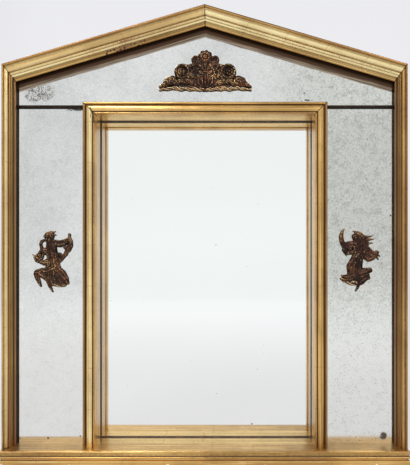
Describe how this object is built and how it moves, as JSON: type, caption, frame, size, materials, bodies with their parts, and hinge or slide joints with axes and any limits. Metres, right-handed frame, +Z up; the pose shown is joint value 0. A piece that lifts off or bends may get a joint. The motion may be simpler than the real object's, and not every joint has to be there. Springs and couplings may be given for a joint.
{
  "type": "parclose mirror",
  "caption": "Gilded architectural wall mirror with a gabled frame, foxed border mirrors, bronze ornaments and a recessed centre glass.",
  "frame": {"origin": "centre of the underside of the base, at mid depth", "axes": "+X to the viewer's right, front faces -Y, +Z up"},
  "size_m": [0.804, 0.097, 0.9272],
  "materials": {
    "gilded_wood": "worn burnished gold leaf on wood",
    "black_slip": "black painted",
    "antique_mirror": "foxed silvering",
    "clear_mirror": "bright silvering",
    "bare_wood": "bare planed wood",
    "backing_board": "aged board",
    "carcass_wood": "planed softwood",
    "cast_bronze": "dark patinated cast bronze",
    "brass_fixings": "dull brass",
    "steel_hangers": "zinc plated"
  },
  "bodies": {
    "frame_body": {"backboard_sprigs": "steel_hangers", "base_rail": "gilded_wood", "base_return_left": "gilded_wood", "base_return_right": "gilded_wood", "carcass_bottom": "carcass_wood", "carcass_rake_left": "carcass_wood", "carcass_rake_right": "carcass_wood", "carcass_stile_left": "carcass_wood", "carcass_stile_right": "carcass_wood", "centre_backboard": "backing_board", "centre_glass": "clear_mirror", "crest_ornament": "cast_bronze", "figure_left": "cast_bronze", "figure_right": "cast_bronze", "glass_spacer_bottom": "bare_wood", "glass_spacer_left": "bare_wood", "glass_spacer_right": "bare_wood", "glass_spacer_top": "bare_wood", "glue_blocks": "carcass_wood", "hanger_screws": "steel_hangers", "hanger_strap_left": "steel_hangers", "hanger_strap_right": "steel_hangers", "hanging_rail": "carcass_wood", "inner_stile_left": "gilded_wood", "inner_stile_right": "gilded_wood", "inner_top_rail": "gilded_wood", "joint_strip_left": "black_slip", "joint_strip_right": "black_slip", "ornament_nuts": "brass_fixings", "ornament_studs": "brass_fixings", "outer_stile_left": "gilded_wood", "outer_stile_right": "gilded_wood", "pediment_backing": "backing_board", "pediment_glass": "antique_mirror", "post_left": "carcass_wood", "post_right": "carcass_wood", "rake_rail_left": "gilded_wood", "rake_rail_right": "gilded_wood", "recess_head": "carcass_wood", "reveal_left": "gilded_wood", "reveal_right": "gilded_wood", "reveal_sill": "gilded_wood", "reveal_top": "gilded_wood", "side_backing_left": "backing_board", "side_backing_right": "backing_board", "side_batten_left": "carcass_wood", "side_batten_right": "carcass_wood", "side_glass_left": "antique_mirror", "side_glass_right": "antique_mirror", "slip_left": "black_slip", "slip_rake_left": "black_slip", "slip_rake_right": "black_slip", "slip_right": "black_slip"},
    "ring_body_left": {"hanger_ring_left": "steel_hangers"},
    "ring_body_right": {"hanger_ring_right": "steel_hangers"}
  },
  "joints": [
    {"name": "ring_swing_left", "type": "hinge", "parent": "frame_body", "child": "ring_body_left", "pos_m": [-0.3, 0.03223, 0.772], "axis": [1, 0, 0], "range_deg": [0, 165]},
    {"name": "ring_swing_right", "type": "hinge", "parent": "frame_body", "child": "ring_body_right", "pos_m": [0.3, 0.03223, 0.772], "axis": [1, 0, 0], "range_deg": [0, 165]}
  ]
}
